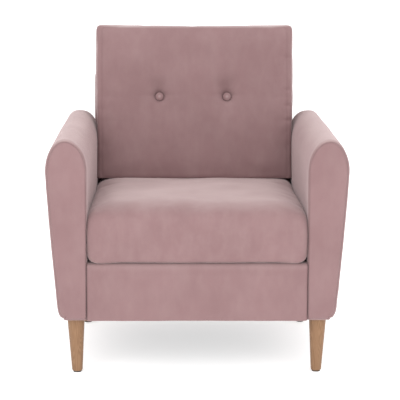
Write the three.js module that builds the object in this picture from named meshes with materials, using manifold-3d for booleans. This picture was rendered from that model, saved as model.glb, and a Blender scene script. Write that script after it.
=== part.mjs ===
// Upholstered armchair with two loose cushions, in millimetres.
// X runs across the chair, Y from front to back, Z up. The chair faces -Y.
// The chair is drawn with Y = 0 at the front of the arms, and centred over the floor at the end.

import * as THREE from 'three';
import { mergeVertices } from 'three/addons/utils/BufferGeometryUtils.js';
import Module from 'manifold-3d';

const wasm = await Module();
wasm.setup();

// ---- driving dimensions ----

const gap = 0.3; // clearance between pieces that touch
const clothThickness = 3; // cover cloth with its thin wadding
const boardThickness = 18; // plywood arm boards
const timberThickness = 25; // softwood rails

const legHeight = 152; // floor to the underside of the upholstery; other heights build on it
const armTop = legHeight + 494;
const armInner = 294; // inner face of an arm at its shoulder, from the middle of the chair
const armInnerFoot = 297; // the same at the underside
const armCrownX = 351; // where an arm is highest
const armWidest = 402.5; // half the overall width
const innerShoulder = legHeight + 406; // where the inner face starts to round over
const outerShoulder = legHeight + 403; // where an arm is widest
const armWaist = { x: 397, z: legHeight + 278 }; // steers the flare of the outer side
const armHem = { x: 376, z: legHeight + 36 }; // where the outer side starts to tuck under
const armCorner = 360; // outer edge of the underside
const facingThickness = 5.7;
const facingInset = 7;
const facingInnerInset = 2;
const padInset = clothThickness + gap;
const frameFloor = legHeight + clothThickness + gap; // underside of the timber, above the cloth
const boardInset = 12; // cloth and foam over the arm boards
const armRearRadius = 85; // rounded top rear corner of an arm

const rake = THREE.MathUtils.degToRad(12.5); // lean of the back
const backFoot = 598.3; // front of the back frame at leg height
const backHalfWidth = 309;
const backDepth = 75;
const backLength = 624; // along the rake
const backRadius = 18;

const seatHalfWidth = 291.5;
const seatFront = -8;
const seatRear = 628;
const seatFloor = legHeight + 157.5;
const seatCrown = legHeight + 320; // top of the seat cushion near its front
const seatRearTop = legHeight + 295;
const seatFrontRadius = 26;
const cushionEdge = 8; // rounding of a cushion's side edges

const backCushionHalfWidth = 292;
const backCushionDepth = 147;
const backCushionTop = 747; // along the rake
const backCushionFloor = legHeight + 301.5; // height of its underside above the floor
const cushionClearance = 1; // between the back cushion and the back frame

const buttonX = 102;
const buttonHeight = 524.5; // along the rake
const buttonRadius = 13;
const dimpleDepth = 25;
const dimpleRadius = 48;
const twineRadius = 1.2;

const legTopRadius = 23.5;
const legFootRadius = 14.5;
const legX = 329;
const legLean = 2; // how far the foot stands in from the top
const legRows = { front: 45, rear: 546 };
const glideHeight = 2.5;
const boltRadius = 4;
const boltDepth = 40; // into the leg, and the same above the upholstery

const deckHeight = legHeight + 156; // top of the front border
const springCount = 5;
const springPitch = 104;
const springWireRadius = 1.9;

const zipHalfLength = 220;
const zipWidth = 8;

// ---- colours ----

const cloth = { color: 0xab8d8e, roughness: 0.9, metalness: 0 };
const foam = { color: 0xe9dfb8, roughness: 1, metalness: 0 };
const timber = { color: 0xcfae7c, roughness: 0.8, metalness: 0 };
const oak = { color: 0xc9a47c, roughness: 0.5, metalness: 0 };
const steel = { color: 0x8f9295, roughness: 0.4, metalness: 1 };
const darkPlastic = { color: 0x3a3634, roughness: 0.6, metalness: 0 };
const blackCloth = { color: 0x2b2829, roughness: 0.95, metalness: 0 };
const jute = { color: 0xb9976a, roughness: 0.95, metalness: 0 };

// ---- solids ----

function toSolid(geometry) {
  const bare = geometry.clone();
  bare.deleteAttribute('normal');
  bare.deleteAttribute('uv');
  const merged = mergeVertices(bare, 1e-3);
  const vertProperties = merged.attributes.position.array;
  const triVerts = new Uint32Array(merged.index.array);
  return new wasm.Manifold(new wasm.Mesh({ numProp: 3, vertProperties, triVerts }));
}

function toGeometry(solid) {
  const mesh = solid.getMesh();
  const geometry = new THREE.BufferGeometry();
  geometry.setAttribute('position', new THREE.BufferAttribute(mesh.vertProperties, 3));
  geometry.setIndex(new THREE.BufferAttribute(mesh.triVerts, 1));
  geometry.computeVertexNormals();
  return geometry;
}

function cut(body, ...tools) {
  return toGeometry(tools.reduce((solid, tool) => solid.subtract(toSolid(tool)), toSolid(body)));
}

function common(first, second) {
  return toGeometry(toSolid(first).intersect(toSolid(second)));
}

function join(first, second) {
  return toGeometry(toSolid(first).add(toSolid(second)));
}

// A block between two opposite corners.
function block(low, high) {
  const size = high.map((value, i) => value - low[i]);
  const geometry = new THREE.BoxGeometry(...size);
  return geometry.translate(...low.map((value, i) => value + size[i] / 2));
}

// Drops points of an outline that repeat the one before, and a last one that repeats the first.
function tidy(points) {
  const spaced = points.filter((point, i) => i === 0 || point.distanceTo(points[i - 1]) > 0.05);
  const closed = spaced.at(-1).distanceTo(spaced[0]) < 0.05;
  return closed ? spaced.slice(0, -1) : spaced;
}

// A profile in Y and Z carried along X, with its end edges rounded by radius.
function alongX(shape, from, to, radius = 0) {
  const outline = new THREE.Shape(tidy(shape.getPoints(6)));
  const geometry = new THREE.ExtrudeGeometry(outline, {
    depth: to - from - 2 * radius,
    bevelEnabled: radius > 0,
    bevelThickness: radius,
    bevelSize: radius,
    bevelOffset: -radius,
    bevelSegments: 3,
  });
  const turn = new THREE.Matrix4().set(0, 0, 1, from + radius, 1, 0, 0, 0, 0, 1, 0, 0, 0, 0, 0, 1);
  return geometry.applyMatrix4(turn);
}

// A profile in X and Z carried along Y.
function alongY(shape, from, to) {
  const geometry = new THREE.ExtrudeGeometry(shape, { depth: to - from, bevelEnabled: false });
  return geometry.rotateX(Math.PI / 2).translate(0, to, 0);
}

// A turned solid from [radius, height] pairs, its axis along Z.
function turned(profile, segments = 24) {
  const points = profile.map(([radius, height]) => new THREE.Vector2(radius, height));
  return new THREE.LatheGeometry(points, segments).rotateX(Math.PI / 2);
}

function rod(radius, from, to, segments = 16) {
  return turned([[0, from], [radius, from], [radius, to], [0, to]], segments);
}

function piece(parent, name, geometry, look) {
  const mesh = new THREE.Mesh(geometry, new THREE.MeshStandardMaterial(look));
  mesh.name = name;
  parent.add(mesh);
  return mesh;
}

// ---- seat base ----

// Y of the back frame's front plane at height z.
function backPlane(z) {
  return backFoot + (z - legHeight) * Math.tan(rake);
}

const frontRailY = 7.5;
const rearRailY = 565;
const railFloor = legHeight + 4;
const railTop = legHeight + 148;
const sideRailFloor = legHeight + 48;
const sideRailTop = legHeight + 118;
const sideRailX = armInnerFoot + boardInset + gap;
const boardFront = facingThickness + gap + padInset + gap;
const frameFront = boardFront + boardThickness + gap; // behind the arm's front board
const blockEnds = { front: [frameFront, frameFront + 42], rear: [524, 568] };

function addRails(chair) {
  const reach = armInner - gap;
  const frontEnd = frontRailY + timberThickness;
  const rearEnd = rearRailY + timberThickness;
  piece(chair, 'front_rail', block([-reach, frontRailY, railFloor], [reach, frontEnd, railTop]), timber);
  piece(chair, 'rear_rail', block([-reach, rearRailY, railFloor], [reach, rearEnd, railTop]), timber);
}

function addSideRail(chair, name, side) {
  const innerX = side * sideRailX;
  const outerX = side * (sideRailX + timberThickness);
  const low = [Math.min(innerX, outerX), frameFront, sideRailFloor];
  const high = [Math.max(innerX, outerX), 576, sideRailTop];
  piece(chair, `side_rail_${name}`, block(low, high), timber);
}

// Room for a leg's bolt, from inside the leg up into its block.
function boltHole(side, row) {
  const hole = rod(boltRadius + gap, legHeight - boltDepth - gap, legHeight + boltDepth + gap);
  return hole.translate(side * legX, legRows[row], 0);
}

function addLegBlock(chair, row, name, side) {
  const innerX = side * sideRailX;
  const outerX = side * 345;
  const [front, rear] = blockEnds[row];
  const low = [Math.min(innerX, outerX), front, frameFloor];
  const high = [Math.max(innerX, outerX), rear, sideRailFloor - gap];
  piece(chair, `leg_block_${row}_${name}`, cut(block(low, high), boltHole(side, row)), timber);
}

// A sinuous spring: a wire that swings from side to side as it runs from rail to rail.
function springWire(centreX) {
  const start = frontRailY + 10;
  const length = rearRailY + 15 - start;
  const swings = 13;
  const swing = 23;
  const steps = swings * 4;
  const points = [];
  for (let i = 0; i <= steps; i += 1) {
    const t = i / steps;
    const x = centreX + swing * Math.sin(t * swings * Math.PI);
    points.push(new THREE.Vector3(x, start + t * length, railTop + springWireRadius + gap));
  }
  const section = new THREE.Shape();
  section.absarc(0, 0, springWireRadius, 0, 2 * Math.PI);
  const path = new THREE.CatmullRomCurve3(points);
  return new THREE.ExtrudeGeometry(section, { steps, extrudePath: path, curveSegments: 3 });
}

function addSprings(chair) {
  for (let i = 0; i < springCount; i += 1) {
    const centreX = (i - (springCount - 1) / 2) * springPitch;
    piece(chair, `seat_spring_${i + 1}`, springWire(centreX), steel);
  }
}

function addDeckAndBorder(chair) {
  const reach = armInner - 2 * gap;
  const deckFloor = deckHeight - 3;
  const borderDepth = 60;
  const deck = block([-reach, borderDepth + 4.5, deckFloor], [reach, backPlane(deckFloor) - 3, deckFloor + 1.5]);
  piece(chair, 'seat_deck_cloth', deck, blackCloth);
  const dustFront = frontRailY + timberThickness + 2;
  const dustRear = rearRailY + timberThickness;
  const dust = block([-reach, dustFront, legHeight + gap], [reach, dustRear, legHeight + gap + 1.2]);
  piece(chair, 'dust_cover', dust, blackCloth);
  piece(chair, 'front_border', alongX(borderProfile(borderDepth), -reach, reach), cloth);
}

// A channel that wraps the front rail: over its top, down its front and under its foot.
function borderProfile(depth) {
  const front = 4;
  const round = 9;
  const under = frontRailY + timberThickness;
  const inside = front + clothThickness;
  const shape = new THREE.Shape();
  shape.moveTo(front, legHeight + round);
  shape.quadraticCurveTo(front, legHeight, front + round, legHeight);
  shape.lineTo(under, legHeight);
  shape.lineTo(under, legHeight + clothThickness);
  shape.lineTo(inside, legHeight + clothThickness);
  shape.lineTo(inside, deckHeight - clothThickness);
  shape.lineTo(front + depth, deckHeight - clothThickness);
  shape.lineTo(front + depth, deckHeight);
  shape.lineTo(front + round, deckHeight);
  shape.quadraticCurveTo(front, deckHeight, front, deckHeight - round);
  return shape;
}

// ---- legs ----

function legBody() {
  const foot = glideHeight + gap;
  const round = 4;
  const top = legHeight - gap;
  return turned([
    [0, foot],
    [legFootRadius - round, foot],
    [legFootRadius - 1, foot + 1.2],
    [legFootRadius, foot + round],
    [legTopRadius, top],
    [0, top],
  ]);
}

function addLeg(chair, row, name, side) {
  const y = legRows[row];
  const lean = (side * legLean) / legHeight;
  const body = legBody();
  body.applyMatrix4(new THREE.Matrix4().makeShear(0, 0, 0, 0, lean, 0));
  const topX = side * legX;
  body.translate(topX - side * legLean, y, 0);
  piece(chair, `leg_${row}_${name}`, cut(body, boltHole(side, row)), oak);
  const bolt = rod(boltRadius, legHeight - boltDepth, legHeight + boltDepth).translate(topX, y, 0);
  piece(chair, `leg_bolt_${row}_${name}`, bolt, steel);
  const glide = rod(legFootRadius - 3, 0, glideHeight, 24).translate(topX - side * legLean, y, 0);
  piece(chair, `glide_${row}_${name}`, glide, darkPlastic);
}

// ---- arms ----

// Section of an arm, drawn in X and Z: nearly upright inside, rounded on top, flared outside.
function armOutline(side, inset, floor, innerInset = inset) {
  const path = new THREE.Path();
  const half = Math.PI / 2;
  path.moveTo(armInnerFoot + innerInset, floor);
  path.lineTo(armInner + innerInset, innerShoulder);
  const innerRound = armCrownX - armInner - innerInset;
  path.absellipse(armCrownX, innerShoulder, innerRound, armTop - innerShoulder - inset, 2 * half, half, true, 0);
  const outerRound = armWidest - armCrownX - inset;
  path.absellipse(armCrownX, outerShoulder, outerRound, armTop - outerShoulder - inset, half, 0, true, 0);
  path.quadraticCurveTo(armWaist.x - inset, armWaist.z, armHem.x - inset, armHem.z);
  path.quadraticCurveTo(armHem.x - 4 - inset, legHeight + 6, armCorner - inset, floor);
  return new THREE.Shape(tidy(path.getPoints(6)).map((p) => new THREE.Vector2(side * p.x, p.y)));
}

// Side view of an arm: upright front, level top, rear end parallel to the back.
function armSide(inset, floor) {
  const front = facingThickness + gap + inset;
  const top = armTop + 1 - inset;
  const rear = (z) => backPlane(z) - 2 * gap - inset;
  const shape = new THREE.Shape();
  shape.moveTo(front, floor);
  shape.lineTo(rear(floor), floor);
  shape.lineTo(rear(top - armRearRadius), top - armRearRadius);
  shape.quadraticCurveTo(rear(top), top, rear(top) - armRearRadius, top);
  shape.lineTo(front, top);
  return shape;
}

function armForm(side, inset, floor) {
  const length = alongY(armOutline(side, inset, floor), 0, 800);
  const profile = alongX(armSide(inset, floor), -500, 500);
  return common(length, profile);
}

// The rear board leans with the back and stops under the top rail.
function rearBoard(side, top) {
  const rear = (z) => backPlane(z) - boardInset;
  const slab = new THREE.Shape();
  slab.moveTo(rear(legHeight) - boardThickness, legHeight);
  slab.lineTo(rear(legHeight) + 5, legHeight);
  slab.lineTo(rear(top) + 5, top);
  slab.lineTo(rear(top) - boardThickness, top);
  return common(armForm(side, boardInset, frameFloor), alongX(slab, -500, 500));
}

function addArm(chair, name, side) {
  const hollow = armForm(side, clothThickness, legHeight + clothThickness);
  const holes = Object.keys(legRows).map((row) => boltHole(side, row));
  piece(chair, `arm_cover_${name}`, cut(armForm(side, 0, legHeight), hollow, ...holes), cloth);
  const facingOutline = armOutline(side, facingInset, legHeight, facingInnerInset);
  piece(chair, `arm_facing_${name}`, alongY(facingOutline, 0, facingThickness), cloth);
  const tunnel = alongY(armOutline(side, boardInset - gap, legHeight), 0, 800);
  piece(chair, `arm_foam_${name}`, cut(armForm(side, padInset, frameFloor), tunnel), foam);
  const boardOutline = armOutline(side, boardInset, frameFloor);
  const front = alongY(boardOutline, boardFront, boardFront + boardThickness);
  piece(chair, `arm_front_board_${name}`, front, timber);
  const railHalf = 23;
  const railFloorZ = armTop - 54;
  piece(chair, `arm_rear_board_${name}`, rearBoard(side, railFloorZ - gap), timber);
  const rail = block(
    [side * armCrownX - railHalf, frameFront, railFloorZ],
    [side * armCrownX + railHalf, backPlane(railFloorZ) - 28, railFloorZ + 22],
  );
  piece(chair, `arm_top_rail_${name}`, rail, timber);
}

// ---- back frame, drawn along its own rake ----

// Side view of the back frame; the underside is cut level.
function backOutline(inset) {
  const level = Math.tan(rake);
  const front = inset;
  const rear = backDepth - inset;
  const top = backLength - inset;
  const shape = new THREE.Shape();
  shape.moveTo(front, front * level + inset);
  shape.lineTo(rear, rear * level + inset);
  shape.lineTo(rear, top - backRadius);
  shape.quadraticCurveTo(rear, top, rear - backRadius, top);
  shape.lineTo(front + backRadius, top);
  shape.quadraticCurveTo(front, top, front, top - backRadius);
  return shape;
}

function addBackFrame(back) {
  const reach = backHalfWidth;
  const inside = backHalfWidth - clothThickness;
  const outer = alongX(backOutline(0), -reach, reach, cushionEdge);
  const hollow = alongX(backOutline(clothThickness), -inside, inside, cushionEdge - clothThickness);
  const mouth = block([-200, 30, -20], [200, 33, 40]); // where the cloth's edges are stapled underneath
  piece(back, 'back_cover', cut(outer, hollow, mouth), cloth);

  const foamFront = clothThickness + gap;
  const strapFront = 18;
  const timberFront = strapFront + 2 + gap;
  const timberRear = 66;
  const uprightOuter = 288;
  const uprightInner = uprightOuter - 32;
  const foamTop = backLength - 24;
  const pad = block([-297, foamFront, 30], [297, strapFront - gap, foamTop]);
  piece(back, 'back_foam', pad, foam);
  for (const [name, side] of sides) {
    const edges = [side * uprightInner, side * uprightOuter].sort((a, b) => a - b);
    const post = block([edges[0], timberFront, 24], [edges[1], timberRear, foamTop - 4]);
    piece(back, `back_upright_${name}`, post, timber);
  }
  const railReach = uprightInner - gap;
  const top = block([-railReach, timberFront, 535], [railReach, timberFront + timberThickness, 590]);
  piece(back, 'back_top_rail', top, timber);
  const foot = block([-railReach, timberFront, 40], [railReach, timberFront + timberThickness, 110]);
  piece(back, 'back_bottom_rail', foot, timber);
  const strapHalfWidth = 25;
  for (const [i, height] of [210, 330, 450].entries()) {
    const low = [-uprightOuter, strapFront, height - strapHalfWidth];
    const high = [uprightOuter, strapFront + 2, height + strapHalfWidth];
    piece(back, `back_webbing_${i + 1}`, block(low, high), jute);
  }
}

// ---- zips: a slot in a cover, a groove in the foam and a slider that lies flush in them ----

const zipGroove = 9;
const sliderLength = 34;

function zipTools(rear, height) {
  const half = zipWidth / 2;
  const slot = block([-zipHalfLength, rear - 8, height - half], [zipHalfLength, rear + 5, height + half]);
  const groove = block(
    [-zipHalfLength - 2, rear - zipGroove, height - half - 2],
    [zipHalfLength + 2, rear + 5, height + half + 2],
  );
  return { slot, groove };
}

// The slider's body with its pull lying along the zip.
function zipSlider(rear, height) {
  const start = -zipHalfLength + 2;
  const bodyLength = 12;
  const body = block(
    [start, rear - zipGroove + 1, height - 3],
    [start + bodyLength, rear - 0.5, height + 3],
  );
  const pull = block(
    [start + bodyLength - 3, rear - 2.2, height - 2],
    [start + sliderLength, rear - 1, height + 2],
  );
  return join(body, pull);
}

// ---- seat cushion ----

const seatZipHeight = legHeight + 224;

// Side view of the seat cushion: level underside, bulging front, top that falls to the rear.
function seatOutline(inset) {
  const front = seatFront + inset;
  const rear = seatRear - inset;
  const floor = seatFloor + inset;
  const top = seatCrown - inset;
  const round = seatFrontRadius - inset;
  const tuck = 14 - inset;
  const shape = new THREE.Shape();
  shape.moveTo(front + tuck, floor);
  shape.lineTo(rear - tuck, floor);
  shape.quadraticCurveTo(rear, floor, rear, floor + tuck);
  shape.lineTo(rear, seatRearTop - inset - tuck);
  shape.quadraticCurveTo(rear, seatRearTop - inset, rear - tuck, seatRearTop - inset);
  shape.bezierCurveTo(515, seatRearTop + 3 - inset, 330, top, 130, top);
  shape.bezierCurveTo(80, top, front + 60, top - 1, front + 3 + round, top - 7);
  shape.quadraticCurveTo(front + 3, top - 11, front + 2, top - 10 - round);
  shape.quadraticCurveTo(front - 2 + inset / 2, (floor + top) / 2 - 10, front + 2, floor + tuck);
  shape.quadraticCurveTo(front + 3, floor, front + tuck, floor);
  return shape;
}

function seatForm(inset) {
  const reach = seatHalfWidth - inset;
  return alongX(seatOutline(inset), -reach, reach, cushionEdge - inset);
}

function addSeatCushion(chair) {
  const { slot, groove } = zipTools(seatRear, seatZipHeight);
  piece(chair, 'seat_cushion_cover', cut(seatForm(0), seatForm(clothThickness), slot), cloth);
  piece(chair, 'seat_cushion_foam', cut(seatForm(padInset), groove), foam);
  piece(chair, 'seat_zip_slider', zipSlider(seatRear, seatZipHeight), steel);
}

// ---- back cushion, drawn along the rake of the back frame ----

const backZipHeight = 350;

// Height along the rake of the level underside, at depth y from the back frame.
function cushionFloor(y) {
  return (backCushionFloor - legHeight) / Math.cos(rake) + y * Math.tan(rake);
}

// Side view of the back cushion: flat behind, crowned in front and on top, level underneath.
function cushionOutline(inset) {
  const rear = -cushionClearance - inset;
  const front = -backCushionDepth + inset;
  const top = backCushionTop - inset;
  const round = 16 - inset;
  const shape = new THREE.Shape();
  shape.moveTo(rear, cushionFloor(rear) + inset + round);
  shape.lineTo(rear, top - 6 - round);
  shape.quadraticCurveTo(rear, top - 6, rear - round, top - 4);
  shape.quadraticCurveTo((rear + front) / 2, top + 4, front + 4 + round, top - 4);
  shape.quadraticCurveTo(front + 3, top - 6, front + 2, top - 6 - round);
  shape.quadraticCurveTo(front - 2, (top + cushionFloor(front)) / 2, front + 2, cushionFloor(front) + inset + round);
  shape.quadraticCurveTo(front + 3, cushionFloor(front) + inset, front + 3 + round, cushionFloor(front + round) + inset);
  shape.lineTo(rear - round, cushionFloor(rear - round) + inset);
  shape.quadraticCurveTo(rear, cushionFloor(rear) + inset, rear, cushionFloor(rear) + inset + round);
  return shape;
}

// A shallow funnel that narrows towards the button's seat.
function dimple(side, inset) {
  const seat = -backCushionDepth + dimpleDepth + inset;
  const seatRadius = buttonRadius + 2 + inset;
  const mouth = -backCushionDepth - 5;
  const profile = [[0, mouth], [dimpleRadius + inset, mouth], [seatRadius, seat], [0, seat]];
  return turned(profile, 20).rotateX(-Math.PI / 2).translate(side * buttonX, 0, buttonHeight);
}

function alongButton(geometry, side) {
  return geometry.rotateX(-Math.PI / 2).translate(side * buttonX, 0, buttonHeight);
}

function cushionForm(inset) {
  const reach = backCushionHalfWidth - inset;
  const plain = alongX(cushionOutline(inset), -reach, reach, cushionEdge - inset);
  return cut(plain, dimple(-1, inset), dimple(1, inset));
}

function twineHole(side) {
  return alongButton(rod(twineRadius + 0.5, -backCushionDepth - 5, -8, 12), side);
}

// Pocket behind the foam for the toggle that the twine is tied to.
function togglePocket(side) {
  return alongButton(rod(11, -9, 5), side);
}

function addBackCushion(back) {
  const { slot, groove } = zipTools(-cushionClearance, backZipHeight);
  const holes = [twineHole(-1), twineHole(1)];
  const cover = cut(cushionForm(0), cushionForm(clothThickness), slot, ...holes);
  piece(back, 'back_cushion_cover', cover, cloth);
  const pockets = [togglePocket(-1), togglePocket(1)];
  piece(back, 'back_cushion_foam', cut(cushionForm(padInset), groove, ...holes, ...pockets), foam);
  piece(back, 'back_zip_slider', zipSlider(-cushionClearance, backZipHeight), steel);
}

function addButton(back, name, side) {
  const seat = -backCushionDepth + dimpleDepth;
  const thickness = 8;
  const domed = [
    [0, seat - thickness],
    [buttonRadius * 0.6, seat - thickness + 1],
    [buttonRadius - 1.5, seat - thickness + 3],
    [buttonRadius, seat - gap - 2],
    [buttonRadius - 2, seat - gap],
    [0, seat - gap],
  ];
  piece(back, `button_${name}`, alongButton(turned(domed), side), cloth);
  const toggle = -6;
  const tied = [
    [0, seat],
    [twineRadius, seat],
    [twineRadius, toggle - 2],
    [9, toggle - 2],
    [9, toggle],
    [0, toggle],
  ];
  piece(back, `tufting_twine_${name}`, alongButton(turned(tied, 12), side), jute);
}

// ---- assembly ----

const sides = [['left', -1], ['right', 1]];

function buildChair() {
  const chair = new THREE.Group();
  addRails(chair);
  addSprings(chair);
  addDeckAndBorder(chair);
  addSeatCushion(chair);
  const back = new THREE.Group();
  back.position.set(0, backFoot, legHeight);
  back.rotation.x = -rake;
  chair.add(back);
  addBackFrame(back);
  addBackCushion(back);
  for (const [name, side] of sides) {
    addSideRail(chair, name, side);
    addArm(chair, name, side);
    addButton(back, name, side);
    for (const row of Object.keys(legRows)) {
      addLegBlock(chair, row, name, side);
      addLeg(chair, row, name, side);
    }
  }
  return chair;
}

const armchair = new THREE.Group();
armchair.add(buildChair());
armchair.updateMatrixWorld(true);
const extent = new THREE.Box3().setFromObject(armchair, true);
armchair.children[0].position.y = -(extent.min.y + extent.max.y) / 2;

export default armchair;
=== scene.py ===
import math

import bmesh
import bpy
import numpy as np
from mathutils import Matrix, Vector


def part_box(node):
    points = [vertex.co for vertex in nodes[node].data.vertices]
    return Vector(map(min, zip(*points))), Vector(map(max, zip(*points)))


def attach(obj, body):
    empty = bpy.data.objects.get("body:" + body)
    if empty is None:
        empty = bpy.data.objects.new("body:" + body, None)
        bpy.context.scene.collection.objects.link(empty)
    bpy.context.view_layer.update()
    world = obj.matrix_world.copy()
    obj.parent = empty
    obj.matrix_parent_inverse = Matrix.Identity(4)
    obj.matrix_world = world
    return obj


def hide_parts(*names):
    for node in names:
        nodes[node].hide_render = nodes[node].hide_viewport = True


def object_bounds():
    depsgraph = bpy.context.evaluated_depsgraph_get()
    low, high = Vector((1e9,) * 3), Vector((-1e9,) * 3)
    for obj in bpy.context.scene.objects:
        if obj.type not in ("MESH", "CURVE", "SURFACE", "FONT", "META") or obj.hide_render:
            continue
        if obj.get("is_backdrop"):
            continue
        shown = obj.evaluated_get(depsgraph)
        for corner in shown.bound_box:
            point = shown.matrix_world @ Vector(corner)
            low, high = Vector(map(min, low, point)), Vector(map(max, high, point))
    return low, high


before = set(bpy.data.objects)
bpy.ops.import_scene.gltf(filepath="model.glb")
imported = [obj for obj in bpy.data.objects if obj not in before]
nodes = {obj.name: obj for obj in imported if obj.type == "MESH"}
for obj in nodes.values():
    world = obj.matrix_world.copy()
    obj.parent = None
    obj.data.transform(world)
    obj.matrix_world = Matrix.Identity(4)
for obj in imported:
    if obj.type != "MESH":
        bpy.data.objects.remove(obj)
cadLow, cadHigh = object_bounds()
scene = bpy.context.scene

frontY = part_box("arm_facing_right")[0].y  # plane of the arms' fronts


view = {
    "lens": 127.2,  # with a 36 mm sensor
    "down": 10.8,  # degrees below level
    "turn": 1.08,  # degrees towards the chair's right
    "roll": -0.2,
    "place": (-0.0655, -3.677, 1.187),  # from the middle of the arms' front plane
}


def addCamera():
    camera = bpy.data.objects.new("camera", bpy.data.cameras.new("camera"))
    scene.collection.objects.link(camera)
    camera.data.lens = view["lens"]
    camera.data.sensor_width = 36
    camera.location = (view["place"][0], frontY + view["place"][1], view["place"][2])
    angles = (90 - view["down"], view["roll"], -view["turn"])
    camera.rotation_euler = [math.radians(angle) for angle in angles]
    scene.camera = camera


studio = {
    "sky": 1.0,
    "key": {"place": (-0.9, -1.9, 1.3), "size": 1.4, "power": 16},
    "fill": {"place": (1.1, -1.9, 1.0), "size": 1.4, "power": 11},
    "top": {"place": (0.1, 0.1, 2.6), "size": 1.8, "power": 14},
    "floorShade": 0.85,
    "floorGlow": 0.5,
}


def addLight(name, place, size, power):
    lamp = bpy.data.objects.new(name, bpy.data.lights.new(name, "AREA"))
    scene.collection.objects.link(lamp)
    lamp.data.size = size
    lamp.data.energy = power
    lamp.location = place
    aim = Vector((0, 0, 0.45)) - lamp.location
    lamp.rotation_euler = aim.to_track_quat("-Z", "Y").to_euler()


def addStudio():
    world = bpy.data.worlds.new("studio")
    world.use_nodes = True
    world.node_tree.nodes["Background"].inputs["Color"].default_value = (1, 1, 1, 1)
    world.node_tree.nodes["Background"].inputs["Strength"].default_value = studio["sky"]
    scene.world = world
    scene.view_settings.view_transform = "Standard"
    for name in ("key", "fill", "top"):
        addLight(name, **studio[name])
    span = np.linspace(-30, 30, 3)
    x, y = np.meshgrid(span, span, indexing="ij")
    floor = gridPiece("floor", np.stack([x, y, np.zeros_like(x)], -1))
    paint = Paint("paleFloor")
    paint.give("Base Color", (*[studio["floorShade"]] * 3, 1))
    paint.give("Roughness", 0.9)
    paint.give("Emission Color", (1, 1, 1, 1))
    paint.give("Emission Strength", studio["floorGlow"])
    floor.data.materials.append(paint.material)
    floor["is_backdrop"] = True


def setMesh(mesh, points, faces):
    mesh.from_pydata(points.reshape(-1, 3).tolist(), [], faces.tolist())
    mesh.update()
    mesh.shade_smooth()


# Quads between neighbouring points of a rows-by-columns grid; either way round may close on itself.
def gridFaces(rows, columns, closeRows=False, closeColumns=False):
    i = np.arange(rows if closeRows else rows - 1)[:, None]
    j = np.arange(columns if closeColumns else columns - 1)[None, :]
    nextI, nextJ = (i + 1) % rows, (j + 1) % columns
    corners = [i * columns + j, nextI * columns + j, nextI * columns + nextJ, i * columns + nextJ]
    return np.stack(np.broadcast_arrays(*corners), -1).reshape(-1, 4)


def gridPiece(name, points, closeRows=False, closeColumns=False, merge=False):
    mesh = bpy.data.meshes.new(name)
    faces = gridFaces(points.shape[0], points.shape[1], closeRows, closeColumns)
    setMesh(mesh, points, faces)
    piece = bpy.data.objects.new(name, mesh)
    scene.collection.objects.link(piece)
    if merge:
        closeUp(mesh)
    return piece


# Merges points that share a place, which closes poles and seams, and turns every face outwards.
def closeUp(mesh):
    bm = bmesh.new()
    bm.from_mesh(mesh)
    bmesh.ops.remove_doubles(bm, verts=bm.verts, dist=2e-5)
    bmesh.ops.dissolve_degenerate(bm, edges=bm.edges, dist=1e-6)
    bmesh.ops.recalc_face_normals(bm, faces=bm.faces)
    bm.to_mesh(mesh)
    bm.free()
    mesh.shade_smooth()


def readPoints(mesh):
    points = np.empty(len(mesh.vertices) * 3, np.float32)
    mesh.vertices.foreach_get("co", points)
    return points.reshape(-1, 3).astype(float)


def writePoints(mesh, points):
    mesh.vertices.foreach_set("co", points.astype(np.float32).ravel())
    mesh.update()


def readNormals(mesh):
    normals = np.empty(len(mesh.vertices) * 3, np.float32)
    mesh.vertex_normals.foreach_get("vector", normals)
    return normals.reshape(-1, 3).astype(float)


# A mask per point, 0 to 1, that the materials read by name.
def setMask(mesh, name, values):
    mask = mesh.attributes.get(name) or mesh.attributes.new(name, "FLOAT", "POINT")
    mask.data.foreach_set("value", np.clip(values, 0, 1).astype(np.float32))


# Smooth bumps from a sum of slow cosines in seeded directions, about -1 to 1; size is in metres.
def ripple(points, size, seed, waves=7):
    rng = np.random.default_rng(seed)
    direction = rng.normal(size=(waves, 3))
    direction /= np.linalg.norm(direction, axis=1)[:, None]
    pace = 2 * math.pi / (size * rng.uniform(0.6, 1.6, waves))
    phase = rng.uniform(0, 2 * math.pi, waves)
    return np.cos(points @ (direction * pace[:, None]).T + phase).sum(-1) / math.sqrt(waves * 2)


# Moves every point along its normal by a little seeded ripple.
def roughen(piece, amount, size, seed):
    points = readPoints(piece.data)
    lift = amount * ripple(points, size, seed)
    writePoints(piece.data, points + readNormals(piece.data) * lift[:, None])


# 0 below low and 1 above high, or the other way about when low is the greater, with soft ends.
def smoothStep(value, low, high):
    t = np.clip((value - low) / (high - low), 0, 1)
    return t * t * (3 - 2 * t)


# A straight run from one corner to the next, as fractions of the way.
def lerp(a, b, t):
    return a * (1 - t) + b * t


# The curve that leaves a towards b and arrives at c: (1-t)^2 a + 2t(1-t) b + t^2 c.
def bend(a, b, c, t):
    return (1 - t) ** 2 * a + 2 * t * (1 - t) * b + t**2 * c


# For each count, that many even fractions from 0 up to, but not including, 1.
def fractions(*counts):
    return [np.linspace(0, 1, count, endpoint=False)[None, :] for count in counts]


# The runs of a section joined into one loop for each inset.
def joined(runs, inset):
    return np.concatenate([run + 0 * inset for run in runs], 1)


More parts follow.
